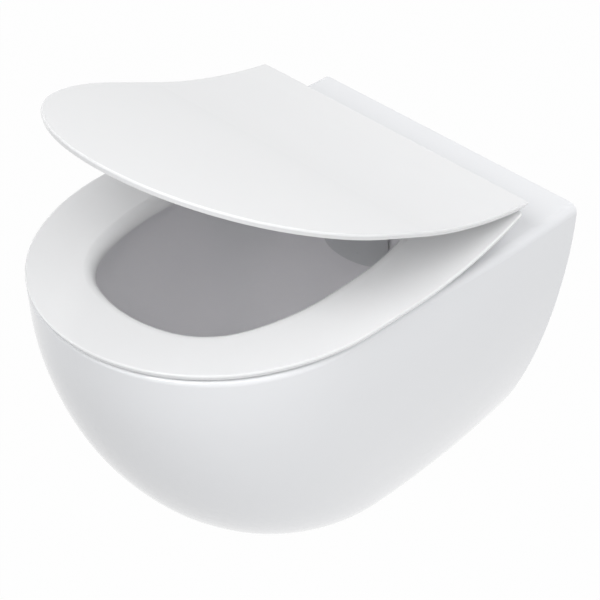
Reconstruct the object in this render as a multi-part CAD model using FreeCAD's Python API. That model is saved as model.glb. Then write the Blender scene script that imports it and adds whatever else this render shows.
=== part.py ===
import FreeCAD, Part
import math
import os
from FreeCAD import Vector

# A wall hung toilet: a skirted ceramic pan on hidden wall fixings, with a thin hinged seat and lid.
# Millimetres. +X right, +Y to the wall, +Z up. The origin is midway between the two wall studs,
# in the plane of the wall.

# ---- ceramic pan, outside
PAN_PROJECTION = 508.0        # wall to the front of the rim
PAN_WIDTH = 360.0             # at its widest
PAN_WALL_NARROWING = 5.0      # each side, from the widest place back to the wall
PAN_WIDEST_FROM_WALL = 316.0
PAN_HEIGHT = 346.0            # rim to underside
KEEL_DROP = 8.0               # how far the skirt's curve would run on below the flat underside
PLAN_POWER = 2.11             # of the superellipse in front of the widest place
PLAN_TAPER = 1.97             # how the sides draw in behind it
# how each measure falls away with depth: power, root, and the share that is left at the bottom
REACH_FALL = (1.83, 0.43, 0.27)
WIDTH_FALL = (1.7, 0.48, 0.17)
WALL_WIDTH_FALL = (1.53, 0.59, 0.17)
RIM_ABOVE_DECK = 5.0          # the rim stands a little above the deck behind the seat
RAMP_FRONT_FROM_WALL = 235.0
RAMP_BACK_FROM_WALL = 115.0
RAMP_EASE = 0.2               # how far off the two levels the ramp's ends already are
STUDS_BELOW_DECK = 80.0
EDGE_RADIUS_WALL = 4.0        # rounding of the pan's top edge, at the wall and at the front
EDGE_RADIUS_FRONT = 9.0
SKIRT_WALL = 9.0
DECK_THICKNESS = 14.0
BACK_PLATE = 14.0
BACK_PLATE_BOTTOM = -40.0

# ---- bowl and waterways
RIM_SIDE = 56.0               # breadth of the rim beside the bowl and in front of it
RIM_FRONT = 55.0
BOWL_BACK_FROM_WALL = 128.0
BOWL_WIDEST_FROM_WALL = 300.0
BOWL_ABOVE_UNDERSIDE = 24.0
BOWL_WALL = 10.0
BOWL_EDGE_RADIUS = 8.0
BOWL_FALL = (2.0, 0.62)       # as above, down to the sump's width
BOWL_SLIDE = 1.25             # how fast its front and back draw together with depth
BOWL_FRONT_POWER = 2.2
BOWL_BACK_POWER = 2.6
BOWL_BACK_SQUARENESS = 1.4    # added to that power at the rim
SUMP_HALF_WIDTH = 24.2
SUMP_ROUNDING = 18.0          # how much shorter the sump's floor is at each end
SUMP_FLOOR_FROM = 0.89        # share of the depth where that begins
SUMP_FRONT_FROM_WALL = 246.0
SUMP_BACK_FROM_WALL = 152.0
TRAP_BORE = 64.0
TRAP_WALL = 7.0
TRAP_BEND = 45.0
TRAP_BELOW_SUMP = 3.0         # how far the trap's bore dips under the sump's floor
TRAP_RISER_FROM_WALL = 105.0
OUTLET_Z = -100.0
OUTLET_OUTER = 102.0
OUTLET_BORE = 90.0
OUTLET_LENGTH = 50.0
INLET_Z = 35.0
INLET_BORE = 55.0
INLET_DEPTH = 50.0
INLET_WALL = 8.0
FLUSH_BORE = 48.0
HOOD_WIDTH = 92.0             # of the distributor that spreads the flush round the bowl
HOOD_HEIGHT = 56.0
HOOD_DEPTH = 16.0
HOOD_BOW = 75.0               # radius of its bowed front
HOOD_CORNER = 20.0
HOOD_WALL = 3.0
HOOD_WINDOW = 30.0            # height of the windows in its spigot
HOOD_SPIGOT = 24.0            # how far the spigot reaches into the duct
HOOD_STANDOFF = 7.0
SPIGOT_CLEARANCE = 0.2

# ---- wall fixings
STUD_SPACING = 180.0
STUD_HOLE = 22.0
STUD_CLEAR_BORE = 13.0        # round an M12 stud
COLLAR_CLEARANCE = 0.2
BLOCK_HEIGHT = 36.0
BLOCK_IN_FRONT_OF_CLAMP = 16.0
BLOCK_BESIDE_CLAMP = 13.5
BLOCK_BESIDE_STUD = 16.0
BLOCK_CORNER = 5.0
CLAMP_THREAD = 8.0
CLAMP_HEAD = 12.0
CLAMP_KEY = 6.0
CLAMP_KEY_DEPTH = 4.5
CLAMP_SHORT = 4.0             # how far its tip stays inside the block

# ---- seat and lid
SEAT_OVERHANG = 5.0           # past the pan at its widest
SEAT_OVERHANG_FRONT = 3.5
SEAT_OVERHANG_BACK = 4.5
SEAT_WIDEST_BEHIND_PAN = 10.5
SEAT_BACK_FROM_WALL = 89.5
SEAT_ABOVE_RIM = 2.2
SEAT_EDGE = 6.4
SWEEP_FROM_WALL = 245.0       # behind this line the seat and the lid sweep up to the hinges
SEAT_RISE = 25.0
LID_RISE = 22.0               # less than the seat's, so that the gap between them narrows
SEAT_INSIDE_BOWL = 14.0       # how far the seat reaches in over the bowl at the sides, front and back
SEAT_INSIDE_BOWL_FRONT = 13.0
SEAT_INSIDE_BOWL_BACK = 4.0
OPENING_WIDEST_BEHIND_BOWL = 2.0
# superellipse power of each outline, and the degrees that its flattest arcs turn through
RING_CURVE = (2.04, 30)
OPENING_FRONT_CURVE = (2.45, 20)
OPENING_BACK_CURVE = (4.4, 10)
SEAT_LIP_DEPTH = 12.6         # of the lip round the opening, from the seat's top
SEAT_LIP = 7.0
SEAT_INNER_RADIUS = 12.0
LID_EDGE = 6.4
LID_ABOVE_SEAT = 4.5
LID_RECESS = 2.0
LID_BORDER = 14.0
REAR_CORNER_RADIUS = 3.0
TOP_EDGE_RADIUS = 1.4
UNDERCUT = 2.4                # the lower part of the edge leans in by this much
UNDERCUT_HEIGHT = 4.2
LID_OPEN = 23.9               # degrees, as it stands at rest

# ---- hinges
HINGE_SPACING = 155.0
HINGE_FROM_WALL = 85.0
HINGE_ABOVE_DECK = 26.0
HINGE_HOLE_FROM_WALL = 100.0
HINGE_HOLE = 15.0
BARREL_RADIUS = 8.0
BARREL_LENGTH = 18.0
ARM_LENGTH = 14.0
DAMPER_ARM_LENGTH = 28.0
ARM_GAP = 0.5
ARM_REACH = 27.0              # from the hinge's axis forward, under the seat or the lid
LID_ARM_CLEARANCE = 0.9       # to the seat's back edge and top
ARM_OVERLAP = 2.0             # how far the arms run into the seat or the lid
LID_ARM_DIP = 3.0             # the underside of the lid's arms falls by this much towards the front
SEAT_FOOT = 4.5               # depth of the seat's feet at their front
SLOT_DEPTH = 14.0             # of the seat's slots for the lid's arms and the posts
PIN_RADIUS = 4.0
PIN_CLEARANCE = 0.06
PIN_SHORT = 0.5               # inside the knuckles' outer faces, at each end
BUSH_RADIUS = 5.5
DAMPER_RADIUS = 6.2
POST_RADIUS = 11.0
POST_ROOF = 2.0               # over the pillar
NECK_INSET = 4.0              # where the post's neck starts, forward of its middle and up its cap
NECK_FRONT = (-6.5, 4.0)      # where the neck's front meets the barrel, from the hinge's axis
NECK_BACK = -1.0              # and its back, at the foot
BASE_RADIUS = 13.0
BASE_HEIGHT = 3.5
BASE_CHAMFER = 1.0
PILLAR_RADIUS = 6.5
PILLAR_HEIGHT = 9.0
PILLAR_CLEARANCE = 0.1
BASE_RECESS = 1.0             # round the base, where it sits in the ramp
HINGE_SCREW = 6.0
HINGE_SCREW_HEAD = 10.0
HINGE_SCREW_HEAD_HEIGHT = 3.5
HINGE_SCREW_SUNK = 0.5        # its head under the pillar's top
HINGE_SCREW_KEY = 4.0
HINGE_SCREW_KEY_DEPTH = 2.2
SCREW_CLEARANCE = 0.2
SCREW_PAST_NUT = 3.0
HINGE_NUT_FLATS = 10.0
HINGE_NUT_HEIGHT = 8.0
SLEEVE_CLEARANCE = 0.3
SLEEVE_BELOW_DECK = 8.0

# ---- buffers
# the front pair: aside, and back from the seat's front; the side pair: in from the edge, from the wall
SEAT_BUFFERS_FRONT = (70.0, 47.5)
SEAT_BUFFERS_SIDE = (33.0, 335.0)
LID_BUFFERS_FRONT = (60.0, 44.5)
LID_BUFFERS_SIDE = (35.0, 290.0)
SEAT_BUFFER_RADIUS = 7.0
LID_BUFFER_RADIUS = 6.0
BUFFER_PEG_RADIUS = 3.0
BUFFER_PEG = 3.0
BUFFER_GAP = 0.1

# ---- derived places
PAN_WALL_WIDTH = PAN_WIDTH - 2 * PAN_WALL_NARROWING
DECK_Z = STUDS_BELOW_DECK
RIM_Z = DECK_Z + RIM_ABOVE_DECK
UNDERSIDE_Z = RIM_Z - PAN_HEIGHT
BOWL_WIDTH = PAN_WIDTH - 2 * RIM_SIDE
BOWL_FRONT_FROM_WALL = PAN_PROJECTION - RIM_FRONT
BOWL_DEPTH = PAN_HEIGHT - BOWL_ABOVE_UNDERSIDE
TRAP_FLOOR_Z = RIM_Z - BOWL_DEPTH + TRAP_BORE / 2 - TRAP_BELOW_SUMP
SEAT_WIDTH = PAN_WIDTH + 2 * SEAT_OVERHANG
SEAT_BACK_WIDTH = PAN_WALL_WIDTH + 2 * SEAT_OVERHANG_BACK
SEAT_FRONT_FROM_WALL = PAN_PROJECTION + SEAT_OVERHANG_FRONT
SEAT_WIDEST_FROM_WALL = PAN_WIDEST_FROM_WALL - SEAT_WIDEST_BEHIND_PAN
OPENING_WIDTH = BOWL_WIDTH - 2 * SEAT_INSIDE_BOWL
OPENING_FRONT_FROM_WALL = BOWL_FRONT_FROM_WALL - SEAT_INSIDE_BOWL_FRONT
OPENING_WIDEST_FROM_WALL = BOWL_WIDEST_FROM_WALL - OPENING_WIDEST_BEHIND_BOWL
OPENING_BACK_FROM_WALL = BOWL_BACK_FROM_WALL + SEAT_INSIDE_BOWL_BACK
SEAT_BOTTOM_Z = RIM_Z + SEAT_ABOVE_RIM
SEAT_TOP_Z = SEAT_BOTTOM_Z + SEAT_EDGE
LID_BOTTOM_Z = SEAT_TOP_Z + LID_ABOVE_SEAT
LID_TOP_Z = LID_BOTTOM_Z + LID_EDGE
HINGE_Y = -HINGE_FROM_WALL
HINGE_Z = DECK_Z + HINGE_ABOVE_DECK
HINGE_HOLE_Y = -HINGE_HOLE_FROM_WALL
SLEEVE_Z = DECK_Z - DECK_THICKNESS - SLEEVE_BELOW_DECK
FAR = 700.0                   # reaches past everything when something is cut away
SKIRT_ALLOWANCE = 4.0         # the skirt is drawn this much too tall, then its top is cut
PAST_WALL = 2.0               # and this much past the wall, then its back is cut
PAST_DECK = 20.0              # the cut that forms the deck and rim runs past them by this much
PAST_FACE = 1.0               # a bore or slot is cut this far beyond the face that it opens through
INTO_BOWL = 40.0              # a duct is drawn this far into the bowl, which then trims it
OUTLINES_FROM_Z = DECK_Z - 50.0
OUTLINES_TO_Z = DECK_Z + 150.0
EGG_STEP = 20                 # degrees between the points of an egg outline


def box(x0, x1, y0, y1, z0, z1):
    return Part.makeBox(x1 - x0, y1 - y0, z1 - z0, Vector(x0, y0, z0))


def rod(radius, start, end):
    """A round bar from one point to another."""
    run = Vector(*end) - Vector(*start)
    return Part.makeCylinder(radius, run.Length, Vector(*start), run)


def fuse_all(shapes):
    whole = shapes[0]
    for shape in shapes[1:]:
        whole = whole.fuse(shape)
    return whole.removeSplitter()


def both_sides(shape):
    """The shape and its mirror image across the middle plane."""
    return [shape, shape.mirror(Vector(0, 0, 0), Vector(1, 0, 0))]


def side_profile(points, x0, x1):
    """A bar along X whose section joins the given (y, z) points with straight lines."""
    corners = [Vector(x0, y, z) for y, z in points]
    face = Part.Face(Part.makePolygon(corners + corners[:1]))
    return face.extrude(Vector(x1 - x0, 0, 0))


def save(name, *shapes):
    whole = shapes[0] if len(shapes) == 1 else Part.makeCompound(list(shapes))
    whole.exportStep("parts/" + name + ".step")


# ---------------------------------------------------------------- outlines

def quarter_round(angle, power):
    """A point of a unit superellipse: sideways and lengthways, from the tip at angle 0."""
    sideways = max(math.sin(angle), 0.0) ** (2 / power)
    lengthways = max(math.cos(angle), 0.0) ** (2 / power)
    return sideways, lengthways


def shield_points(half_width, widest, front, back, back_half_width):
    """Half an outline, from its back corner round the widest place to its front tip (y < 0)."""
    points = []
    for step in (0.0, 0.2, 0.45, 0.7, 0.88):
        narrowing = (half_width - back_half_width) * (1 - step) ** PLAN_TAPER
        points.append((half_width - narrowing, -(back + (widest - back) * step)))
    for degrees in (90, 75, 60, 45, 30, 15, 0):
        sideways, lengthways = quarter_round(math.radians(degrees), PLAN_POWER)
        points.append((half_width * sideways, -(widest + (front - widest) * lengthways)))
    return points


def spacing(points):
    """The running length along the points, which every section of one loft then shares."""
    lengths = [0.0]
    for (x0, y0), (x1, y1) in zip(points, points[1:]):
        lengths.append(lengths[-1] + math.hypot(x1 - x0, y1 - y0))
    return lengths


def shield_wire(points, z, shared):
    """The closed outline: right side, left side and a straight back."""
    right = [Vector(x, y, z) for x, y in points]
    left = [Vector(-x, y, z) for x, y in reversed(points)]
    back_again = [shared[-1] - length for length in reversed(shared)]
    slope = (right[1] - right[0]).normalize()
    mirrored = Vector(slope.x, -slope.y, 0)
    tip = Vector(-1, 0, 0)
    edges = []
    for curve, knots, start, end in ((right, shared, slope, tip), (left, back_again, tip, mirrored)):
        spline = Part.BSplineCurve()
        spline.interpolate(Points=curve, Parameters=knots, InitialTangent=start, FinalTangent=end)
        edges.append(spline.toShape())
    edges.append(Part.makeLine(left[-1], right[0]))
    return Part.Wire(edges)


def egg_wire(half_width, widest, front, back, front_power, back_power, z):
    """A closed smooth outline, blunter at the back than at the front (distances from the wall)."""
    points = []
    for degrees in range(0, 360, EGG_STEP):
        turn = math.radians(degrees)
        ahead = math.cos(turn) > 0
        power = front_power if ahead else back_power
        reach = front - widest if ahead else back - widest
        sideways, lengthways = quarter_round(math.asin(abs(math.sin(turn))), power)
        x = math.copysign(half_width * sideways, math.sin(turn))
        points.append(Vector(x, -(widest + reach * lengthways), z))
    spline = Part.BSplineCurve()
    spline.interpolate(Points=points, Parameters=list(range(len(points) + 1)), PeriodicFlag=True)
    return Part.Wire(spline.toShape())


def quarter_arcs(half_width, length, power, flat):
    """Four tangent arcs close to a quarter of a superellipse, from its widest place to its tip.

    Each is (first angle, last angle, radius). The first and last arcs turn through flat degrees.
    """
    lean = (half_width / length) ** (1 / (power - 1))
    share = (1 + lean ** power) ** (-1 / power)
    middle = (half_width * lean * share, length * share)
    arcs = []
    for angles, dx, dy in (((0, flat, 45), half_width - middle[0], middle[1]),
                           ((45, 90 - flat, 90), middle[0], length - middle[1])):
        cosines = [math.cos(math.radians(angle)) for angle in angles]
        sines = [math.sin(math.radians(angle)) for angle in angles]
        a, b = cosines[0] - cosines[1], cosines[1] - cosines[2]
        c, d = sines[1] - sines[0], sines[2] - sines[1]
        size = a * d - b * c
        arcs.append((angles[0], angles[1], (dx * d - b * dy) / size))
        arcs.append((angles[1], angles[2], (a * dy - c * dx) / size))
    return arcs


def arc_edges(arcs, x, y, grow, towards):
    """The arcs as edges from the widest place at (x, y), to the front (-1) or to the back (1)."""
    edges = []
    for first, last, radius in arcs:
        cx = x - radius * math.cos(math.radians(first))
        cy = y - towards * radius * math.sin(math.radians(first))
        reached = [(math.cos(math.radians(angle)), towards * math.sin(math.radians(angle)))
                   for angle in (first, (first + last) / 2, last)]
        ends = [Vector(cx + (radius + grow) * u, cy + (radius + grow) * v, 0) for u, v in reached]
        edges.append(Part.Arc(*ends).toShape())
        x, y = cx + radius * reached[2][0], cy + radius * reached[2][1]
    return edges


def mirrored_wire(edges, *closing):
    """A closed outline from the edges of its right side, their mirror image and what closes it."""
    left = [edge.mirror(Vector(0, 0, 0), Vector(1, 0, 0)) for edge in edges]
    return Part.Wire(Part.__sortEdges__(edges + left + list(closing)))


def prism(wire):
    """The outline, drawn at height 0, as a block that runs up through the seat and the lid."""
    lowered = wire.translated(Vector(0, 0, OUTLINES_FROM_Z))
    return Part.Face(lowered).extrude(Vector(0, 0, OUTLINES_TO_Z - OUTLINES_FROM_Z))


# ---------------------------------------------------------------- pan

def fall(depth, power, root, floor):
    """How much of a width is left at a share of the depth, down to floor at the bottom."""
    return floor + (1 - floor) * max(1 - depth ** power, 0.0) ** root


SKIRT_SPACING = spacing(shield_points(PAN_WIDTH / 2, PAN_WIDEST_FROM_WALL, PAN_PROJECTION, 0.0,
                                      PAN_WALL_WIDTH / 2))


def skirt_wire(depth, inset, back):
    """The skirt's level section at a share of its depth, drawn inwards by inset."""
    reach = fall(depth, *REACH_FALL)
    points = shield_points(
        PAN_WIDTH / 2 * fall(depth, *WIDTH_FALL) - inset,
        PAN_WIDEST_FROM_WALL * reach,
        PAN_PROJECTION * reach - inset,
        back,
        PAN_WALL_WIDTH / 2 * fall(depth, *WALL_WIDTH_FALL) - inset)
    return shield_wire(points, RIM_Z - depth * (PAN_HEIGHT + KEEL_DROP), SKIRT_SPACING)


def skirt(inset, back, lowest, levels, straight):
    """The skirt's outside, or its hollow when drawn inwards, down to lowest."""
    end = math.asin((RIM_Z - lowest) / (PAN_HEIGHT + KEEL_DROP))
    wires = [skirt_wire(math.sin(end * step / levels), inset, back) for step in range(levels + 1)]
    wires[0] = wires[0].translated(Vector(0, 0, SKIRT_ALLOWANCE))
    solid = Part.makeLoft(wires, True, straight)
    solid.fix(0.01, 0.01, 0.1)
    return solid


def deck_cutter():
    """What lies above the pan's top: level rim, gentle ramp, lower deck at the wall."""
    middle = -(RAMP_FRONT_FROM_WALL + RAMP_BACK_FROM_WALL) / 2
    level = -RAMP_FRONT_FROM_WALL - 70.0
    heights = [(PAST_DECK, DECK_Z), (-RAMP_BACK_FROM_WALL / 2, DECK_Z),
               (-RAMP_BACK_FROM_WALL, DECK_Z + RAMP_EASE), (middle, DECK_Z + RIM_ABOVE_DECK / 2),
               (-RAMP_FRONT_FROM_WALL, RIM_Z - RAMP_EASE), (level, RIM_Z),
               (-PAN_PROJECTION - PAST_DECK, RIM_Z)]
    spline = Part.BSplineCurve()
    spline.interpolate(Points=[Vector(-FAR / 2, y, z) for y, z in heights],
                       InitialTangent=Vector(0, -1, 0), FinalTangent=Vector(0, -1, 0))
    above = [Vector(-FAR / 2, y, RIM_Z + 40) for y in (heights[-1][0], heights[0][0])]
    lines = Part.makePolygon([Vector(-FAR / 2, *heights[-1])] + above + [Vector(-FAR / 2, *heights[0])])
    face = Part.Face(Part.Wire([spline.toShape()] + lines.Edges))
    return face.extrude(Vector(FAR, 0, 0))


BOWL_STEPS = (0.0, 0.07, 0.18, 0.34, 0.52, 0.68, 0.81, 0.9, 0.96, 1.0)


def bowl(grow, top, steps, straight):
    """The bowl's inside, or with grow its outside, from top down to the sump."""
    wires = []
    for step in steps:
        width = fall(step, *BOWL_FALL, SUMP_HALF_WIDTH * 2 / BOWL_WIDTH)
        slide = step ** BOWL_SLIDE
        front = BOWL_FRONT_FROM_WALL + (SUMP_FRONT_FROM_WALL - BOWL_FRONT_FROM_WALL) * slide
        back = BOWL_BACK_FROM_WALL + (SUMP_BACK_FROM_WALL - BOWL_BACK_FROM_WALL) * slide
        widest = BOWL_WIDEST_FROM_WALL + (front + back - BOWL_FRONT_FROM_WALL - BOWL_BACK_FROM_WALL) / 2
        shrink = SUMP_ROUNDING * max(step - SUMP_FLOOR_FROM, 0.0) / (1 - SUMP_FLOOR_FROM)
        z = RIM_Z - BOWL_DEPTH * step - (grow if step == 1.0 else 0.0)
        back_power = BOWL_BACK_POWER + BOWL_BACK_SQUARENESS * (1 - step) ** 3
        wires.append(egg_wire(BOWL_WIDTH / 2 * width + grow, widest, front + grow - shrink,
                              back - grow + shrink, BOWL_FRONT_POWER, back_power, z))
    wires[0] = wires[0].translated(Vector(0, 0, top - RIM_Z))
    return Part.makeLoft(wires, True, straight)


def trap(radius):
    """The waterway from the sump, up over the weir and back to the wall."""
    lower = TRAP_FLOOR_Z
    upper = OUTLET_Z
    riser = -TRAP_RISER_FROM_WALL
    bend = TRAP_BEND
    half = bend * math.sqrt(0.5)
    start = Vector(0, -SUMP_BACK_FROM_WALL - INTO_BOWL, lower)
    first = Vector(0, riser - bend, lower)
    second = Vector(0, riser, lower + bend)
    third = Vector(0, riser, upper - bend)
    fourth = Vector(0, riser + bend, upper)
    low_middle = Vector(0, riser - bend + half, lower + bend - half)
    high_middle = Vector(0, riser + bend - half, upper - bend + half)
    path = Part.Wire([
        Part.makeLine(start, first), Part.Arc(first, low_middle, second).toShape(),
        Part.makeLine(second, third), Part.Arc(third, high_middle, fourth).toShape(),
        Part.makeLine(fourth, Vector(0, 0, upper))])
    ring = Part.Wire(Part.makeCircle(radius, start, Vector(0, 1, 0)))
    return path.makePipeShell([ring], True, False)


def pan_outside():
    """The filled-in outer form, with its top edge rounded more at the front than at the wall."""
    half = skirt(0.0, -PAST_WALL, UNDERSIDE_Z, 9, False).cut(deck_cutter())
    half = half.common(box(0, FAR, -FAR, 0, -FAR, FAR))
    top_edge = [edge for edge in half.Edges
                if edge.BoundBox.ZMin > DECK_Z - 1 and edge.BoundBox.XLength < PAN_WIDTH * 0.6
                and edge.BoundBox.XMin < 1 and edge.BoundBox.YLength > PAN_PROJECTION * 0.9
                and edge.BoundBox.XLength > 1]
    half = half.makeFillet(EDGE_RADIUS_WALL, EDGE_RADIUS_FRONT, top_edge)
    right, left = both_sides(half)
    return right.fuse(left)


def pan():
    """One fired piece: skirt, deck and rim, bowl, waterways, and a back plate with its holes."""
    ceiling = DECK_Z - DECK_THICKNESS
    hollow = skirt(SKIRT_WALL, -2 * PAST_WALL, UNDERSIDE_Z + SKIRT_WALL, 6, True)
    hollow = hollow.cut(box(-FAR, FAR, -FAR, FAR, ceiling, ceiling + FAR))
    inlet_end = -BOWL_BACK_FROM_WALL - INTO_BOWL
    for kept in (
            bowl(BOWL_WALL, RIM_Z + SKIRT_ALLOWANCE, (0.0, 0.25, 0.5, 0.7, 0.89, 1.0), True),
            trap(TRAP_BORE / 2 + TRAP_WALL),
            rod(OUTLET_OUTER / 2, (0, -OUTLET_LENGTH, OUTLET_Z), (0, 1, OUTLET_Z)),
            rod(INLET_BORE / 2 + INLET_WALL, (0, inlet_end, INLET_Z), (0, 1, INLET_Z)),
            box(-FAR, FAR, -BACK_PLATE, 1, BACK_PLATE_BOTTOM, FAR)):
        hollow = hollow.cut(kept)
    body = pan_outside().cut(hollow)
    body = body.cut(bowl(0.0, RIM_Z + SKIRT_ALLOWANCE, BOWL_STEPS, False))
    mouth = [edge for edge in body.Edges
             if edge.BoundBox.ZMin > DECK_Z - 1 and edge.BoundBox.YMax < -BOWL_BACK_FROM_WALL + 3
             and edge.BoundBox.XLength < BOWL_WIDTH + 4 and edge.BoundBox.XLength > BOWL_WIDTH / 3]
    body = body.makeFillet(BOWL_EDGE_RADIUS, mouth)
    body = body.cut(trap(TRAP_BORE / 2))
    for radius, x, depth, z in (
            (OUTLET_BORE / 2, 0, OUTLET_LENGTH - TRAP_WALL, OUTLET_Z),
            (INLET_BORE / 2, 0, INLET_DEPTH, INLET_Z),
            (FLUSH_BORE / 2, 0, BOWL_BACK_FROM_WALL + 30, INLET_Z),
            (STUD_HOLE / 2, STUD_SPACING / 2, BACK_PLATE + 5, 0),
            (STUD_HOLE / 2, -STUD_SPACING / 2, BACK_PLATE + 5, 0)):
        body = body.cut(rod(radius, (x, -depth, z), (x, 5, z)))
    for x in (-HINGE_SPACING / 2, HINGE_SPACING / 2):
        body = body.cut(rod(HINGE_HOLE / 2, (x, HINGE_HOLE_Y, ceiling - 5), (x, HINGE_HOLE_Y, RIM_Z + 5)))
        recess = rod(BASE_RADIUS + BASE_RECESS, (x, HINGE_HOLE_Y, DECK_Z), (x, HINGE_HOLE_Y, RIM_Z + 5))
        body = body.cut(recess)
    return body


# ---------------------------------------------------------------- seat and lid

def ring_outline(inset):
    """The outline that the seat and the lid share, square to the wall at the back."""
    half = SEAT_WIDTH / 2
    run = SEAT_WIDEST_FROM_WALL - SEAT_BACK_FROM_WALL
    narrowing = half - SEAT_BACK_WIDTH / 2
    radius = (run ** 2 + narrowing ** 2) / (2 * narrowing)
    side = []
    for back in (SEAT_BACK_FROM_WALL + inset, (SEAT_BACK_FROM_WALL + SEAT_WIDEST_FROM_WALL) / 2):
        x = half - radius + math.sqrt((radius - inset) ** 2 - (SEAT_WIDEST_FROM_WALL - back) ** 2)
        side.append(Vector(x, -back, 0))
    side.append(Vector(half - inset, -SEAT_WIDEST_FROM_WALL, 0))
    front = quarter_arcs(half, SEAT_FRONT_FROM_WALL - SEAT_WIDEST_FROM_WALL, *RING_CURVE)
    edges = [Part.Arc(*side).toShape()] + arc_edges(front, half, -SEAT_WIDEST_FROM_WALL, -inset, -1)
    return mirrored_wire(edges, Part.makeLine(Vector(-side[0].x, side[0].y, 0), side[0]))


def ring_prism(inset, corner):
    solid = prism(ring_outline(inset))
    corners = [edge for edge in solid.Edges
               if edge.BoundBox.ZLength > 1 and edge.BoundBox.YMax > -SEAT_BACK_FROM_WALL - inset - 1]
    return solid.makeFillet(corner, corners)


def sweep_height(from_wall, rise):
    """The height of an arc that starts level in front and has risen by rise at the seat's back."""
    run = SWEEP_FROM_WALL - SEAT_BACK_FROM_WALL
    radius = (run ** 2 + rise ** 2) / (2 * rise)
    along = max(SWEEP_FROM_WALL - from_wall, 0.0)
    return radius - math.sqrt(radius ** 2 - along ** 2)


def swept_slab(top, thickness, rise):
    """A slab across the whole width: level in front, sweeping up on an arc towards the hinges."""
    front = SEAT_FRONT_FROM_WALL + 20
    past = SEAT_BACK_FROM_WALL - 20
    edges = []
    sides = []
    for z in (top, top - thickness):
        points = [Vector(-FAR, -from_wall, z + sweep_height(from_wall, rise))
                  for from_wall in (front, SWEEP_FROM_WALL, (SWEEP_FROM_WALL + past) / 2, past)]
        edges.append(Part.makeLine(points[0], points[1]))
        edges.append(Part.Arc(*points[1:]).toShape())
        sides.append(points)
    edges.append(Part.makeLine(sides[0][0], sides[1][0]))
    edges.append(Part.makeLine(sides[0][3], sides[1][3]))
    face = Part.Face(Part.Wire(Part.__sortEdges__(edges)))
    return face.extrude(Vector(2 * FAR, 0, 0))


def opening_prism(grow):
    half = OPENING_WIDTH / 2
    widest = OPENING_WIDEST_FROM_WALL
    front = quarter_arcs(half, OPENING_FRONT_FROM_WALL - widest, *OPENING_FRONT_CURVE)
    back = quarter_arcs(half, widest - OPENING_BACK_FROM_WALL, *OPENING_BACK_CURVE)
    edges = arc_edges(front, half, -widest, grow, -1) + arc_edges(back, half, -widest, grow, 1)
    return prism(mirrored_wire(edges))


def by_opening(point):
    """True on the edge of the seat's opening and of the lip round it."""
    aside = OPENING_WIDTH / 2 + SEAT_LIP + 0.5
    front = -OPENING_FRONT_FROM_WALL - SEAT_LIP - 0.5
    return abs(point.x) < aside and front < point.y < -OPENING_BACK_FROM_WALL + SEAT_LIP + 0.5


def edges_on(solid, top, rise, inside):
    """The outline's edges on the swept surface of that height: the opening's, or the outer ones."""
    found = []
    for edge in solid.Edges:
        middle = edge.valueAt((edge.FirstParameter + edge.LastParameter) / 2)
        level = abs(middle.z - top - sweep_height(-middle.y, rise)) < 0.05
        straight_across = edge.BoundBox.YLength < 0.1
        if level and not straight_across and by_opening(middle) == inside:
            found.append(edge)
    return found


def seat_arm(inner, outer):
    """A knuckle round the hinge pin with a foot under the seat, from inner to outer along X."""
    foot = HINGE_Y - ARM_REACH
    in_seat = SEAT_BOTTOM_Z + ARM_OVERLAP
    lug = side_profile([(HINGE_Y, HINGE_Z - BARREL_RADIUS),
                        (foot, SEAT_BOTTOM_Z + sweep_height(-foot, SEAT_RISE) - SEAT_FOOT),
                        (foot, in_seat + sweep_height(-foot, SEAT_RISE)),
                        (-SEAT_BACK_FROM_WALL, in_seat + SEAT_RISE),
                        (HINGE_Y, HINGE_Z + BARREL_RADIUS)], inner, outer)
    return lug.fuse(rod(BARREL_RADIUS, (inner, HINGE_Y, HINGE_Z), (outer, HINGE_Y, HINGE_Z)))


def lid_arm(inner, outer):
    """A knuckle that rises behind the seat's edge and reaches forward under the closed lid."""
    behind_seat = -SEAT_BACK_FROM_WALL + LID_ARM_CLEARANCE
    over_seat = SEAT_TOP_Z + SEAT_RISE + LID_ARM_CLEARANCE
    foot = HINGE_Y - ARM_REACH
    in_lid = LID_BOTTOM_Z + ARM_OVERLAP
    lug = side_profile([(behind_seat, HINGE_Z), (behind_seat, over_seat),
                        (foot, over_seat - LID_ARM_DIP),
                        (foot, in_lid + sweep_height(-foot, LID_RISE)),
                        (-SEAT_BACK_FROM_WALL - ARM_OVERLAP, in_lid + LID_RISE),
                        (HINGE_Y, in_lid + LID_RISE),
                        (HINGE_Y + BARREL_RADIUS, HINGE_Z)], inner, outer)
    return lug.fuse(rod(BARREL_RADIUS, (inner, HINGE_Y, HINGE_Z), (outer, HINGE_Y, HINGE_Z)))


def arm_span(side, outboard, length):
    """The X range of an arm beside the post on one side (side is 1 or -1), low value first."""
    edge = BARREL_LENGTH / 2 + ARM_GAP
    near = HINGE_SPACING / 2 + (edge if outboard else -edge)
    far = near + (length if outboard else -length)
    return sorted((side * near, side * far))


# the right hinge damps the seat and the left hinge damps the lid
SEAT_ARMS = {1: arm_span(1, True, DAMPER_ARM_LENGTH), -1: arm_span(-1, True, ARM_LENGTH)}
LID_ARMS = {1: arm_span(1, False, ARM_LENGTH), -1: arm_span(-1, False, DAMPER_ARM_LENGTH)}


def cartridge_radius(span):
    """The bore of an arm: a damper in the long arms, a plain bush in the short ones."""
    return DAMPER_RADIUS if span[1] - span[0] > ARM_LENGTH + 1 else BUSH_RADIUS


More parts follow.
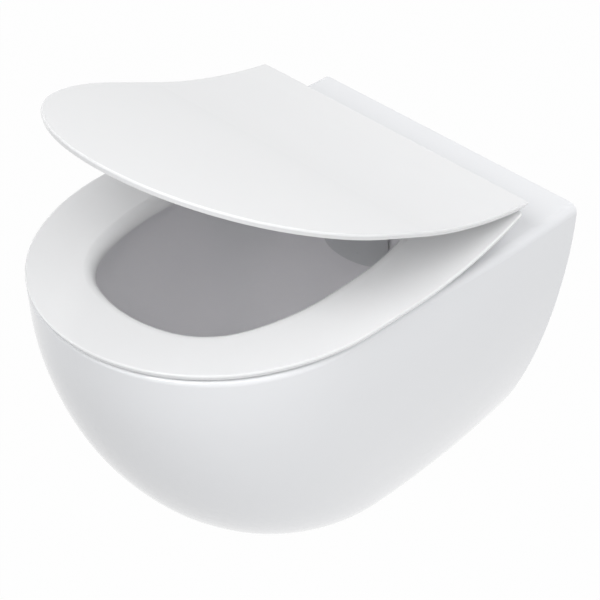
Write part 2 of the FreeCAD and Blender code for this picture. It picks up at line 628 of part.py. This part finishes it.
def seat():
    """A ring with a thin edge, a deeper lip round its opening and a foot for each hinge."""
    plan = ring_prism(0.0, REAR_CORNER_RADIUS)
    lip = opening_prism(SEAT_LIP).cut(opening_prism(0.0))
    lip = lip.common(swept_slab(SEAT_TOP_Z, SEAT_LIP_DEPTH, SEAT_RISE))
    ring = plan.common(swept_slab(SEAT_TOP_Z, SEAT_EDGE, SEAT_RISE)).cut(opening_prism(0.0))
    body = ring.fuse(lip).removeSplitter()
    body = body.makeFillet(SEAT_INNER_RADIUS, edges_on(body, SEAT_TOP_Z, SEAT_RISE, True))
    body = body.makeFillet(TOP_EDGE_RADIUS, edges_on(body, SEAT_TOP_Z, SEAT_RISE, False))
    lower_edge = edges_on(body, SEAT_BOTTOM_Z, SEAT_RISE, False)
    body = body.makeChamfer(UNDERCUT_HEIGHT, UNDERCUT, lower_edge)
    for span in SEAT_ARMS.values():
        body = body.fuse(seat_arm(*span))
    slot_front = HINGE_Y - SLOT_DEPTH
    for side, span in LID_ARMS.items():
        edges = [abs(x) for x in span] + [HINGE_SPACING / 2 + BARREL_LENGTH / 2]
        near = side * (min(edges) - ARM_GAP)
        far = side * (max(edges) + ARM_GAP)
        body = body.cut(box(min(near, far), max(near, far), slot_front, 0, DECK_Z, DECK_Z + 100))
    for span in SEAT_ARMS.values():
        body = body.cut(rod(cartridge_radius(span), (span[0] - 1, HINGE_Y, HINGE_Z),
                            (span[1] + 1, HINGE_Y, HINGE_Z)))
    for x, y in SEAT_BUFFER_PLACES:
        body = body.cut(rod(BUFFER_PEG_RADIUS, (x, y, SEAT_BOTTOM_Z - 1), (x, y, SEAT_BOTTOM_Z + BUFFER_PEG)))
    return body


def lid():
    """A thin plate with the seat's outline, shallowly recessed below, as it lies when closed."""
    body = ring_prism(0.0, REAR_CORNER_RADIUS).common(swept_slab(LID_TOP_Z, LID_EDGE, LID_RISE))
    body = body.makeFillet(TOP_EDGE_RADIUS, edges_on(body, LID_TOP_Z, LID_RISE, False))
    lower_edge = edges_on(body, LID_BOTTOM_Z, LID_RISE, False)
    body = body.makeChamfer(UNDERCUT_HEIGHT, UNDERCUT, lower_edge)
    recess = ring_prism(LID_BORDER, REAR_CORNER_RADIUS)
    recess = recess.common(swept_slab(LID_BOTTOM_Z + LID_RECESS, LID_RECESS + 5, LID_RISE))
    body = body.cut(recess)
    for span in LID_ARMS.values():
        body = body.fuse(lid_arm(*span))
    for span in LID_ARMS.values():
        body = body.cut(rod(cartridge_radius(span), (span[0] - 1, HINGE_Y, HINGE_Z),
                            (span[1] + 1, HINGE_Y, HINGE_Z)))
    return body


def opened(shape):
    """A piece of the closed lid, turned up to where the lid stands at rest."""
    return shape.rotated(Vector(0, HINGE_Y, HINGE_Z), Vector(-1, 0, 0), LID_OPEN)


# ---------------------------------------------------------------- hinge hardware

def hinge_x(side):
    return side * HINGE_SPACING / 2


def hinge_post(side):
    """A cap over the pillar that leans back to a barrel which holds the pin."""
    x = hinge_x(side)
    foot_z = DECK_Z + BASE_HEIGHT
    half = BARREL_LENGTH / 2
    shoulder = foot_z + PILLAR_HEIGHT + POST_ROOF
    front = HINGE_HOLE_Y - NECK_INSET
    low = foot_z + NECK_INSET
    cap = rod(POST_RADIUS, (x, HINGE_HOLE_Y, foot_z), (x, HINGE_HOLE_Y, shoulder))
    neck = side_profile([(front, low), (front, shoulder),
                         (HINGE_Y + NECK_FRONT[0], HINGE_Z + NECK_FRONT[1]), (HINGE_Y, HINGE_Z),
                         (HINGE_Y + NECK_BACK, low)], x - half, x + half)
    barrel = rod(BARREL_RADIUS, (x - half, HINGE_Y, HINGE_Z), (x + half, HINGE_Y, HINGE_Z))
    body = fuse_all([cap, neck, barrel])
    socket = rod(PILLAR_RADIUS + PILLAR_CLEARANCE, (x, HINGE_HOLE_Y, foot_z - 1),
                 (x, HINGE_HOLE_Y, foot_z + PILLAR_HEIGHT + PILLAR_CLEARANCE))
    pin_hole = rod(PIN_RADIUS, (x - half - 1, HINGE_Y, HINGE_Z), (x + half + 1, HINGE_Y, HINGE_Z))
    return body.cut(socket).cut(pin_hole)


def hinge_base(side):
    """The disc and pillar that the post clips over, drilled for a countersunk screw."""
    x = hinge_x(side)
    foot_z = DECK_Z + BASE_HEIGHT
    top = foot_z + PILLAR_HEIGHT
    disc = rod(BASE_RADIUS, (x, HINGE_HOLE_Y, DECK_Z), (x, HINGE_HOLE_Y, foot_z))
    rim = [edge for edge in disc.Edges if edge.BoundBox.ZMin > foot_z - 0.1]
    disc = disc.makeChamfer(BASE_CHAMFER, rim)
    body = disc.fuse(rod(PILLAR_RADIUS, (x, HINGE_HOLE_Y, DECK_Z), (x, HINGE_HOLE_Y, top)))
    seat_of_head = top - HINGE_SCREW_HEAD_HEIGHT - HINGE_SCREW_SUNK
    for bore, low in ((HINGE_SCREW, DECK_Z - PAST_FACE), (HINGE_SCREW_HEAD, seat_of_head)):
        body = body.cut(rod(bore / 2 + SCREW_CLEARANCE, (x, HINGE_HOLE_Y, low), (x, HINGE_HOLE_Y, top + 1)))
    return body


def hinge_sleeve(side):
    """The rubber sleeve that swells in the deck's hole when the screw draws up the nut."""
    x = hinge_x(side)
    low = (x, HINGE_HOLE_Y, SLEEVE_Z)
    high = (x, HINGE_HOLE_Y, DECK_Z)
    bore = rod(HINGE_SCREW / 2 + SCREW_CLEARANCE / 2, low, high)
    return rod(HINGE_HOLE / 2 - SLEEVE_CLEARANCE, low, high).cut(bore)


def hexagon(flats, x, y, z0, z1):
    radius = flats / math.sqrt(3)
    corners = [Vector(x + radius * math.cos(math.radians(60 * k)),
                      y + radius * math.sin(math.radians(60 * k)), z0) for k in range(7)]
    return Part.Face(Part.makePolygon(corners)).extrude(Vector(0, 0, z1 - z0))


def hinge_nut(side):
    x = hinge_x(side)
    low = SLEEVE_Z - HINGE_NUT_HEIGHT
    nut = hexagon(HINGE_NUT_FLATS, x, HINGE_HOLE_Y, low, SLEEVE_Z)
    return nut.cut(rod(HINGE_SCREW / 2, (x, HINGE_HOLE_Y, low), (x, HINGE_HOLE_Y, SLEEVE_Z)))


def hinge_screw(side):
    x = hinge_x(side)
    head_top = DECK_Z + BASE_HEIGHT + PILLAR_HEIGHT - HINGE_SCREW_SUNK
    under_head = head_top - HINGE_SCREW_HEAD_HEIGHT
    head = rod(HINGE_SCREW_HEAD / 2, (x, HINGE_HOLE_Y, under_head), (x, HINGE_HOLE_Y, head_top))
    tip = SLEEVE_Z - HINGE_NUT_HEIGHT - SCREW_PAST_NUT
    shank = rod(HINGE_SCREW / 2, (x, HINGE_HOLE_Y, tip), (x, HINGE_HOLE_Y, under_head + 1))
    key = hexagon(HINGE_SCREW_KEY, x, HINGE_HOLE_Y, head_top - HINGE_SCREW_KEY_DEPTH, head_top + 1)
    return head.fuse(shank).cut(key)


def hinge_pin(side):
    spans = SEAT_ARMS[side] + LID_ARMS[side]
    return rod(PIN_RADIUS, (min(spans) + PIN_SHORT, HINGE_Y, HINGE_Z),
               (max(spans) - PIN_SHORT, HINGE_Y, HINGE_Z))


def cartridge(span):
    """A sleeve that fills an arm's bore and turns on the pin."""
    start = (span[0], HINGE_Y, HINGE_Z)
    end = (span[1], HINGE_Y, HINGE_Z)
    return rod(cartridge_radius(span), start, end).cut(rod(PIN_RADIUS + PIN_CLEARANCE, start, end))


# ---------------------------------------------------------------- buffers

def buffer_places(front_pair, side_pair):
    """The four (x, y) places of the seat's buffers, or of the lid's."""
    aside, behind_front = front_pair
    from_edge, from_wall = side_pair
    front = (aside, behind_front - SEAT_FRONT_FROM_WALL)
    beside = (SEAT_WIDTH / 2 - from_edge, -from_wall)
    return [(side * x, y) for x, y in (front, beside) for side in (1, -1)]


SEAT_BUFFER_PLACES = buffer_places(SEAT_BUFFERS_FRONT, SEAT_BUFFERS_SIDE)
LID_BUFFER_PLACES = buffer_places(LID_BUFFERS_FRONT, LID_BUFFERS_SIDE)


def seat_buffer(x, y):
    """A soft disc under the seat that comes down on the rim, with a peg in the seat."""
    disc = rod(SEAT_BUFFER_RADIUS, (x, y, RIM_Z + BUFFER_GAP), (x, y, SEAT_BOTTOM_Z))
    return disc.fuse(rod(BUFFER_PEG_RADIUS, (x, y, SEAT_BOTTOM_Z - 0.5), (x, y, SEAT_BOTTOM_Z + BUFFER_PEG)))


def lid_buffer(x, y):
    """A soft disc in the lid's recess that comes down on the seat."""
    return rod(LID_BUFFER_RADIUS, (x, y, SEAT_TOP_Z + BUFFER_GAP), (x, y, LID_BOTTOM_Z + LID_RECESS))


# ---------------------------------------------------------------- flush and wall fixings

def hood_solid(inset):
    """A block with a bowed front and rounded corners, the hood's outside or its hollow."""
    half = HOOD_WIDTH / 2 - inset
    tall = HOOD_HEIGHT / 2 - inset
    back = -BOWL_BACK_FROM_WALL - HOOD_STANDOFF
    block = box(-half, half, back - HOOD_DEPTH - 1, back, INLET_Z - tall, INLET_Z + tall)
    corners = [edge for edge in block.Edges if edge.BoundBox.YLength > HOOD_DEPTH]
    block = block.makeFillet(HOOD_CORNER - inset, corners)
    centre = (0, back - HOOD_DEPTH + HOOD_BOW)
    bow = rod(HOOD_BOW - inset, (*centre, INLET_Z - FAR), (*centre, INLET_Z + FAR))
    return block.common(bow)


def flush_distributor():
    """A shallow hood in front of the flush inlet, open behind, on a spigot with side windows."""
    back = -BOWL_BACK_FROM_WALL - HOOD_STANDOFF
    front = (0, back - HOOD_DEPTH + HOOD_WALL / 2, INLET_Z)
    end = (0, -BOWL_BACK_FROM_WALL + HOOD_SPIGOT, INLET_Z)
    outer = FLUSH_BORE / 2 - SPIGOT_CLEARANCE
    tube = rod(outer, front, end).cut(rod(outer - HOOD_WALL, front, end))
    half = HOOD_WINDOW / 2
    window = box(-FAR, FAR, -FAR, back, INLET_Z - half, INLET_Z + half)
    return hood_solid(0.0).cut(hood_solid(HOOD_WALL)).fuse(tube.cut(window))


def fixing_block(side):
    """The block behind the back plate that takes the wall stud and is clamped from above."""
    inner = side * (HINGE_SPACING / 2 - BLOCK_BESIDE_CLAMP)
    outer = side * (STUD_SPACING / 2 + BLOCK_BESIDE_STUD)
    front = HINGE_HOLE_Y - BLOCK_IN_FRONT_OF_CLAMP
    stud_x = side * STUD_SPACING / 2
    half = BLOCK_HEIGHT / 2
    body = box(min(inner, outer), max(inner, outer), front, -BACK_PLATE, -half, half)
    ends = [edge for edge in body.Edges if edge.BoundBox.ZLength > BLOCK_HEIGHT - 1]
    body = body.makeFillet(BLOCK_CORNER, ends)
    body = body.fuse(rod(STUD_HOLE / 2 - COLLAR_CLEARANCE, (stud_x, -BACK_PLATE - 1, 0), (stud_x, 0, 0)))
    body = body.cut(rod(STUD_CLEAR_BORE / 2, (stud_x, -FAR, 0), (stud_x, 10, 0)))
    screw_x = hinge_x(side)
    return body.cut(rod(CLAMP_THREAD / 2, (screw_x, HINGE_HOLE_Y, -FAR), (screw_x, HINGE_HOLE_Y, FAR)))


def clamp_screw(side):
    x = hinge_x(side)
    half = BLOCK_HEIGHT / 2
    top = half + CLAMP_THREAD
    shank = rod(CLAMP_THREAD / 2, (x, HINGE_HOLE_Y, -half + CLAMP_SHORT), (x, HINGE_HOLE_Y, half + 1))
    head = rod(CLAMP_HEAD / 2, (x, HINGE_HOLE_Y, half), (x, HINGE_HOLE_Y, top))
    return head.fuse(shank).cut(hexagon(CLAMP_KEY, x, HINGE_HOLE_Y, top - CLAMP_KEY_DEPTH, top + 1))


if __name__ == "__main__":
    os.makedirs("parts", exist_ok=True)
    save("pan", pan())
    save("flush_distributor", flush_distributor())
    save("seat", seat())
    save("lid", opened(lid()))
    for side, word in ((1, "right"), (-1, "left")):
        save("hinge_post_" + word, hinge_post(side))
        save("hinge_base_" + word, hinge_base(side))
        save("hinge_sleeve_" + word, hinge_sleeve(side))
        save("hinge_pin_" + word, hinge_pin(side))
        save("fixing_block_" + word, fixing_block(side))
    save("hinge_screws", hinge_screw(1), hinge_screw(-1))
    save("hinge_nuts", hinge_nut(1), hinge_nut(-1))
    save("clamp_screws", clamp_screw(1), clamp_screw(-1))
    save("seat_damper", cartridge(SEAT_ARMS[1]))
    save("seat_bush", cartridge(SEAT_ARMS[-1]))
    save("lid_damper", opened(cartridge(LID_ARMS[-1])))
    save("lid_bush", opened(cartridge(LID_ARMS[1])))
    save("seat_buffers", *[seat_buffer(x, y) for x, y in SEAT_BUFFER_PLACES])
    save("lid_buffers", *[opened(lid_buffer(x, y)) for x, y in LID_BUFFER_PLACES])
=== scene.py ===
import math

import bmesh
import bpy
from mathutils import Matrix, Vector

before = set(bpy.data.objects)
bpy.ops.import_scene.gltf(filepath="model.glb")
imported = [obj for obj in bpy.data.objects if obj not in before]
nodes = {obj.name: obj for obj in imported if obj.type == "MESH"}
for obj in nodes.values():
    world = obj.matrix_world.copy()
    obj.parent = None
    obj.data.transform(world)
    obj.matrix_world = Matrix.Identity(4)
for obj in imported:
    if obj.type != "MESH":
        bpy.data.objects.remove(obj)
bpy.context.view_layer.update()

# ---------------------------------------------------------------- camera
# A long lens looks down on the pan from its front right corner, so that the closed edges of the
# seat and the half-raised lid both show.
AZIMUTH = math.radians(44.52)
ELEVATION = math.radians(36.29)
DISTANCE = 3.0693
AIM = Vector((-0.04399, -0.16837, -0.060))
LENS_MM = 180.0
SENSOR_MM = 36.0

back = Vector((math.sin(AZIMUTH) * math.cos(ELEVATION),
               -math.cos(AZIMUTH) * math.cos(ELEVATION), math.sin(ELEVATION)))
camera = bpy.data.objects.new("camera", bpy.data.cameras.new("camera"))
camera.data.sensor_width = SENSOR_MM
camera.data.lens = LENS_MM
camera.location = AIM + back * DISTANCE
camera.rotation_mode = "QUATERNION"
camera.rotation_quaternion = (-back).to_track_quat("-Z", "Y")
bpy.context.scene.collection.objects.link(camera)
bpy.context.scene.camera = camera
bpy.context.scene.view_settings.view_transform = "Standard"

# ---------------------------------------------------------------- pan
# Vitreous china, slip-cast in one piece, sprayed with white glaze and fired. The glaze is thick and
# smooth, with the faint long ripples of a surface that once flowed. Inside the bowl the colour is
# painted whiter, as painted light that lifts the shaded bowl.
GLAZE_COLOUR = (0.885, 0.89, 0.90, 1)
GLAZE_SHADE = (0.86, 0.868, 0.885, 1)
GLAZE_COAT = 0.3
GLAZE_COAT_ROUGHNESS = 0.03
# painted light: the bowl's inside is coloured whiter than the rest of the glaze
BOWL_PAINTED_LIGHT = (0.935, 0.925, 0.945, 1)
# a leaning ellipsoid that the bowl's inside lies in, all but its rim, and how deep in it the
# bowl's painted light starts
BOWL_MIDDLE = (0, -0.29, 0.085)
BOWL_RADII = (0.14, 0.19, 0.36)
BOWL_LEAN = math.radians(15)
PAINTED_LIGHT_STARTS = (0.05, 0.1)
# how finely the three patterns of an uneven surface break up
PATCH_DETAIL = 3.0
GRAIN_DETAIL = 2.0
RIPPLE_DETAIL = 1.0
# the patches' range, in which the polish goes from its smoothest to its roughest
PATCH_LOW = 0.3
PATCH_HIGH = 0.7
HEIGHT_UNIT = 0.001           # grain and ripple heights are given in millimetres


def new_material(name, metallic=0.0, specular=0.5, coat=0.0):
    """A material with its shader, and the object's own coordinates to hang patterns on."""
    made = bpy.data.materials.new(name)
    made.use_nodes = True
    shader = made.node_tree.nodes["Principled BSDF"]
    shader.inputs["Metallic"].default_value = metallic
    shader.inputs["Specular IOR Level"].default_value = specular
    shader.inputs["Coat Weight"].default_value = coat
    place = made.node_tree.nodes.new("ShaderNodeTexCoord")
    return made, shader, place.outputs["Object"]


def surface_group():
    """Uneven tint, uneven polish and fine relief, at a scale each material sets for itself."""
    group = bpy.data.node_groups.new("uneven surface", "ShaderNodeTree")
    takes = (("Place", "NodeSocketVector"), ("Colour", "NodeSocketColor"),
             ("Second Colour", "NodeSocketColor"), ("Patch Scale", "NodeSocketFloat"),
             ("Smoothest", "NodeSocketFloat"), ("Roughest", "NodeSocketFloat"),
             ("Grain Scale", "NodeSocketFloat"), ("Grain Height", "NodeSocketFloat"),
             ("Ripple Scale", "NodeSocketFloat"), ("Ripple Height", "NodeSocketFloat"))
    gives = (("Colour", "NodeSocketColor"), ("Roughness", "NodeSocketFloat"),
             ("Normal", "NodeSocketVector"))
    for name, kind in takes:
        group.interface.new_socket(name, in_out="INPUT", socket_type=kind)
    for name, kind in gives:
        group.interface.new_socket(name, in_out="OUTPUT", socket_type=kind)
    make, join = group.nodes.new, group.links.new
    given = make("NodeGroupInput").outputs
    result = make("NodeGroupOutput").inputs

    def noise(scale, detail):
        pattern = make("ShaderNodeTexNoise")
        pattern.inputs["Detail"].default_value = detail
        join(given["Place"], pattern.inputs["Vector"])
        join(given[scale], pattern.inputs["Scale"])
        return pattern.outputs["Fac"]

    patches = noise("Patch Scale", PATCH_DETAIL)
    tint = make("ShaderNodeMix")
    tint.data_type = "RGBA"
    join(patches, tint.inputs["Factor"])
    join(given["Colour"], tint.inputs["A"])
    join(given["Second Colour"], tint.inputs["B"])
    join(tint.outputs["Result"], result["Colour"])
    polish = make("ShaderNodeMapRange")
    polish.inputs["From Min"].default_value = PATCH_LOW
    polish.inputs["From Max"].default_value = PATCH_HIGH
    join(patches, polish.inputs["Value"])
    join(given["Smoothest"], polish.inputs["To Min"])
    join(given["Roughest"], polish.inputs["To Max"])
    join(polish.outputs["Result"], result["Roughness"])
    fine = make("ShaderNodeMath")
    fine.operation = "MULTIPLY"
    join(noise("Grain Scale", GRAIN_DETAIL), fine.inputs[0])
    join(given["Grain Height"], fine.inputs[1])
    both = make("ShaderNodeMath")
    both.operation = "MULTIPLY_ADD"
    join(noise("Ripple Scale", RIPPLE_DETAIL), both.inputs[0])
    join(given["Ripple Height"], both.inputs[1])
    join(fine.outputs[0], both.inputs[2])
    relief = make("ShaderNodeBump")
    relief.inputs["Strength"].default_value = 1.0
    relief.inputs["Distance"].default_value = HEIGHT_UNIT
    join(both.outputs[0], relief.inputs["Height"])
    join(relief.outputs["Normal"], result["Normal"])
    return group


UNEVEN = surface_group()


def uneven(made, shader, place, **values):
    """Puts the uneven surface in a material, with that material's own values."""
    group = made.node_tree.nodes.new("ShaderNodeGroup")
    group.node_tree = UNEVEN
    join = made.node_tree.links.new
    join(place, group.inputs["Place"])
    for name, value in values.items():
        group.inputs[name.replace("_", " ").title()].default_value = value
    join(group.outputs["Colour"], shader.inputs["Base Color"])
    join(group.outputs["Roughness"], shader.inputs["Roughness"])
    join(group.outputs["Normal"], shader.inputs["Normal"])


def paint_bowl_light(made, shader, place):
    """Paints a material whiter inside the ellipsoid that holds the bowl: painted light in the bowl."""
    make, join = made.node_tree.nodes.new, made.node_tree.links.new
    around = make("ShaderNodeMapping")
    around.vector_type = "TEXTURE"
    around.inputs["Location"].default_value = BOWL_MIDDLE
    around.inputs["Rotation"].default_value = (BOWL_LEAN, 0, 0)
    around.inputs["Scale"].default_value = BOWL_RADII
    join(place, around.inputs["Vector"])
    ball = make("ShaderNodeTexGradient")
    ball.gradient_type = "SPHERICAL"
    join(around.outputs["Vector"], ball.inputs["Vector"])
    within = make("ShaderNodeMapRange")
    within.inputs["From Min"].default_value, within.inputs["From Max"].default_value = PAINTED_LIGHT_STARTS
    join(ball.outputs["Fac"], within.inputs["Value"])
    blend = make("ShaderNodeMix")
    blend.data_type = "RGBA"
    join(within.outputs["Result"], blend.inputs["Factor"])
    join(shader.inputs["Base Color"].links[0].from_socket, blend.inputs["A"])
    blend.inputs["B"].default_value = BOWL_PAINTED_LIGHT
    join(blend.outputs["Result"], shader.inputs["Base Color"])


def paint(made, *names):
    """Gives CAD nodes their material."""
    for name in names:
        materials = nodes[name].data.materials
        materials.clear()
        materials.append(made)


ceramic, shader, place = new_material("glazed ceramic", coat=GLAZE_COAT)
shader.inputs["Coat Roughness"].default_value = GLAZE_COAT_ROUGHNESS
uneven(ceramic, shader, place, colour=GLAZE_COLOUR, second_colour=GLAZE_SHADE, patch_scale=5.0,
       smoothest=0.05, roughest=0.09, grain_scale=900.0, grain_height=0.004,
       ripple_scale=9.0, ripple_height=0.25)
# paints light into the bowl, whitening its inside
paint_bowl_light(ceramic, shader, place)
paint(ceramic, "pan")

# ---------------------------------------------------------------- flush distributor
# A shallow hood, moulded in a slightly dull white plastic. Its spigot pushes into the flush inlet
# at the bowl's back, and the hood spreads the water to both sides.
MOULDING_COLOUR = (0.70, 0.71, 0.72, 1)
MOULDING_SHADE = (0.64, 0.65, 0.66, 1)

moulding, shader, place = new_material("white moulding", specular=0.4)
uneven(moulding, shader, place, colour=MOULDING_COLOUR, second_colour=MOULDING_SHADE,
       patch_scale=30.0, smoothest=0.35, roughest=0.5, grain_scale=1500.0, grain_height=0.03,
       ripple_scale=60.0, ripple_height=0.02)
paint(moulding, "flush_distributor")

# ---------------------------------------------------------------- wall fixings
# Moulded grey plastic blocks behind the pan's back plate take the wall studs. Each is clamped with
# a stainless steel screw, which is turned from above, through the hinge's hole.
GREY_COLOUR = (0.09, 0.095, 0.10, 1)
GREY_SHADE = (0.07, 0.073, 0.08, 1)
STEEL_COLOUR = (0.56, 0.56, 0.58, 1)
STEEL_SHADE = (0.46, 0.46, 0.48, 1)

grey_moulding, shader, place = new_material("grey moulding", specular=0.4)
uneven(grey_moulding, shader, place, colour=GREY_COLOUR, second_colour=GREY_SHADE,
       patch_scale=40.0, smoothest=0.4, roughest=0.6, grain_scale=1200.0, grain_height=0.06,
       ripple_scale=80.0, ripple_height=0.02)
paint(grey_moulding, "fixing_block_right", "fixing_block_left")

steel, shader, place = new_material("stainless steel", metallic=1.0)
uneven(steel, shader, place, colour=STEEL_COLOUR, second_colour=STEEL_SHADE,
       patch_scale=60.0, smoothest=0.22, roughest=0.4, grain_scale=2500.0, grain_height=0.02,
       ripple_scale=120.0, ripple_height=0.02)
paint(steel, "clamp_screws")

# ---------------------------------------------------------------- hinges
# Cast zinc posts and bases in bright chrome plate, over a rubber sleeve, a screw and a nut that
# draw up inside the deck's holes. A steel pin runs through each post and the knuckles, which are
# lined with grey plastic dampers and bushes.
CHROME_COLOUR = (0.74, 0.75, 0.77, 1)
CHROME_SHADE = (0.66, 0.67, 0.70, 1)
RUBBER_COLOUR = (0.035, 0.035, 0.037, 1)
RUBBER_SHADE = (0.05, 0.05, 0.052, 1)

chrome, shader, place = new_material("chrome plate", metallic=1.0)
uneven(chrome, shader, place, colour=CHROME_COLOUR, second_colour=CHROME_SHADE,
       patch_scale=40.0, smoothest=0.06, roughest=0.14, grain_scale=1800.0, grain_height=0.006,
       ripple_scale=70.0, ripple_height=0.02)

rubber, shader, place = new_material("rubber", specular=0.3)
uneven(rubber, shader, place, colour=RUBBER_COLOUR, second_colour=RUBBER_SHADE,
       patch_scale=50.0, smoothest=0.7, roughest=0.9, grain_scale=1500.0, grain_height=0.08,
       ripple_scale=90.0, ripple_height=0.03)

for side in ("right", "left"):
    paint(chrome, "hinge_post_" + side, "hinge_base_" + side)
    paint(steel, "hinge_pin_" + side)
    paint(rubber, "hinge_sleeve_" + side)
paint(steel, "hinge_screws", "hinge_nuts")
paint(grey_moulding, "seat_damper", "seat_bush", "lid_damper", "lid_bush")

# ---------------------------------------------------------------- seat and lid
# Both are pressed in hot moulds from a white thermoset, and come out with a hard, even gloss, a
# little softer than the glaze. Their knuckles turn on the hinge pins.
SHELL_COLOUR = (0.89, 0.89, 0.89, 1)
SHELL_SHADE = (0.87, 0.872, 0.875, 1)

shell, shader, place = new_material("glossy thermoset")
uneven(shell, shader, place, colour=SHELL_COLOUR, second_colour=SHELL_SHADE, patch_scale=6.0,
       smoothest=0.14, roughest=0.2, grain_scale=1600.0, grain_height=0.004,
       ripple_scale=12.0, ripple_height=0.08)
paint(shell, "seat", "lid")

# ---------------------------------------------------------------- buffers
# Soft, slightly milky discs, pegged into the undersides of the seat and the lid. They keep the
# seat off the rim and the lid off the seat.
BUFFER_COLOUR = (0.62, 0.63, 0.63, 1)
BUFFER_SHADE = (0.56, 0.57, 0.58, 1)
BUFFER_MILKINESS = 0.2
BUFFER_GLOW_DEPTH = 0.004

soft, shader, place = new_material("soft buffer", specular=0.4)
shader.inputs["Subsurface Weight"].default_value = BUFFER_MILKINESS
shader.inputs["Subsurface Scale"].default_value = BUFFER_GLOW_DEPTH
uneven(soft, shader, place, colour=BUFFER_COLOUR, second_colour=BUFFER_SHADE, patch_scale=60.0,
       smoothest=0.45, roughest=0.6, grain_scale=1500.0, grain_height=0.03,
       ripple_scale=90.0, ripple_height=0.02)
paint(soft, "seat_buffers", "lid_buffers")

# ---------------------------------------------------------------- studio
# A pale floor far below the hung pan, a white surround, and soft square lamps. What the camera
# and the reflections see of floor and surround is white, while the light on the pan stays plain.
FLOOR_Z = -2.3
FLOOR_HALF = 12.0
FLOOR_COLOUR = (0.88, 0.88, 0.88, 1)
FLOOR_ROUGHNESS = 0.9
SHADOW_SHARE = 0.02           # of the floor's own shaded surface in what the camera sees of it
BACKGROUND = (1, 1, 1, 1)
WORLD_LIGHT = (0.97, 0.98, 1.0, 1)
WORLD_LEVEL = 0.44
LIT_CENTRE = Vector((0, -0.25, 0))
LAMP_SIZE = 1.2
LAMP_DISTANCE = 2.4
LOW_LAMP = 30                 # degrees up, below which a lamp isn't mirrored


def seen_directly(tree):
    """A mask that is 1 for what the camera, gloss or glass sees, and 0 for what lights the object."""
    path = tree.nodes.new("ShaderNodeLightPath")
    total = path.outputs["Is Camera Ray"]
    for other in ("Is Glossy Ray", "Is Transmission Ray"):
        add = tree.nodes.new("ShaderNodeMath")
        add.operation = "MAXIMUM"
        tree.links.new(total, add.inputs[0])
        tree.links.new(path.outputs[other], add.inputs[1])
        total = add.outputs[0]
    return total


bm = bmesh.new()
bmesh.ops.create_grid(bm, x_segments=1, y_segments=1, size=FLOOR_HALF)
bmesh.ops.translate(bm, verts=bm.verts, vec=(0, 0, FLOOR_Z))
floor = bpy.data.objects.new("floor", bpy.data.meshes.new("floor"))
bm.to_mesh(floor.data)
bm.free()
bpy.context.scene.collection.objects.link(floor)
floor_paint = bpy.data.materials.new("studio floor")
floor_paint.use_nodes = True
tree = floor_paint.node_tree
shaded = tree.nodes["Principled BSDF"]
shaded.inputs["Base Color"].default_value = FLOOR_COLOUR
shaded.inputs["Roughness"].default_value = FLOOR_ROUGHNESS
white = tree.nodes.new("ShaderNodeEmission")
white.inputs["Color"].default_value = BACKGROUND
blend = tree.nodes.new("ShaderNodeMixShader")
share = tree.nodes.new("ShaderNodeMath")
share.operation = "MULTIPLY"
share.inputs[1].default_value = 1 - SHADOW_SHARE
tree.links.new(seen_directly(tree), share.inputs[0])
tree.links.new(share.outputs[0], blend.inputs["Fac"])
tree.links.new(shaded.outputs["BSDF"], blend.inputs[1])
tree.links.new(white.outputs["Emission"], blend.inputs[2])
tree.links.new(blend.outputs["Shader"], tree.nodes["Material Output"].inputs["Surface"])
floor.data.materials.append(floor_paint)

world = bpy.data.worlds.new("studio")
bpy.context.scene.world = world
world.use_nodes = True
tree = world.node_tree
lit = tree.nodes["Background"]
lit.inputs["Color"].default_value = WORLD_LIGHT
lit.inputs["Strength"].default_value = WORLD_LEVEL
shown = tree.nodes.new("ShaderNodeBackground")
shown.inputs["Color"].default_value = BACKGROUND
blend = tree.nodes.new("ShaderNodeMixShader")
tree.links.new(seen_directly(tree), blend.inputs["Fac"])
tree.links.new(lit.outputs["Background"], blend.inputs[1])
tree.links.new(shown.outputs["Background"], blend.inputs[2])
tree.links.new(blend.outputs["Shader"], tree.nodes["World Output"].inputs["Surface"])


def soft_lamp(name, azimuth, elevation, watts):
    """A square lamp on a wide ring round the pan, facing it (azimuth 0 is before it, 90 to its right).

    One that stands low only fills the shadows, and stays out of the glaze's reflections.
    """
    turn, lift = math.radians(azimuth), math.radians(elevation)
    away = Vector((math.sin(turn) * math.cos(lift), -math.cos(turn) * math.cos(lift), math.sin(lift)))
    lamp = bpy.data.lights.new(name, "AREA")
    lamp.shape = "SQUARE"
    lamp.size = LAMP_SIZE
    lamp.energy = watts
    made = bpy.data.objects.new(name, lamp)
    made.location = LIT_CENTRE + away * LAMP_DISTANCE
    made.rotation_mode = "QUATERNION"
    made.rotation_quaternion = (-away).to_track_quat("-Z", "Y")
    made.visible_camera = False
    made.visible_glossy = elevation > LOW_LAMP
    bpy.context.scene.collection.objects.link(made)


soft_lamp("front", azimuth=20, elevation=50, watts=26)
soft_lamp("front right", azimuth=70, elevation=50, watts=8)
soft_lamp("low right", azimuth=90, elevation=-25, watts=13)
soft_lamp("left", azimuth=270, elevation=8, watts=9)
soft_lamp("behind right", azimuth=135, elevation=62, watts=5.5)
soft_lamp("over the wall", azimuth=180, elevation=62, watts=4)
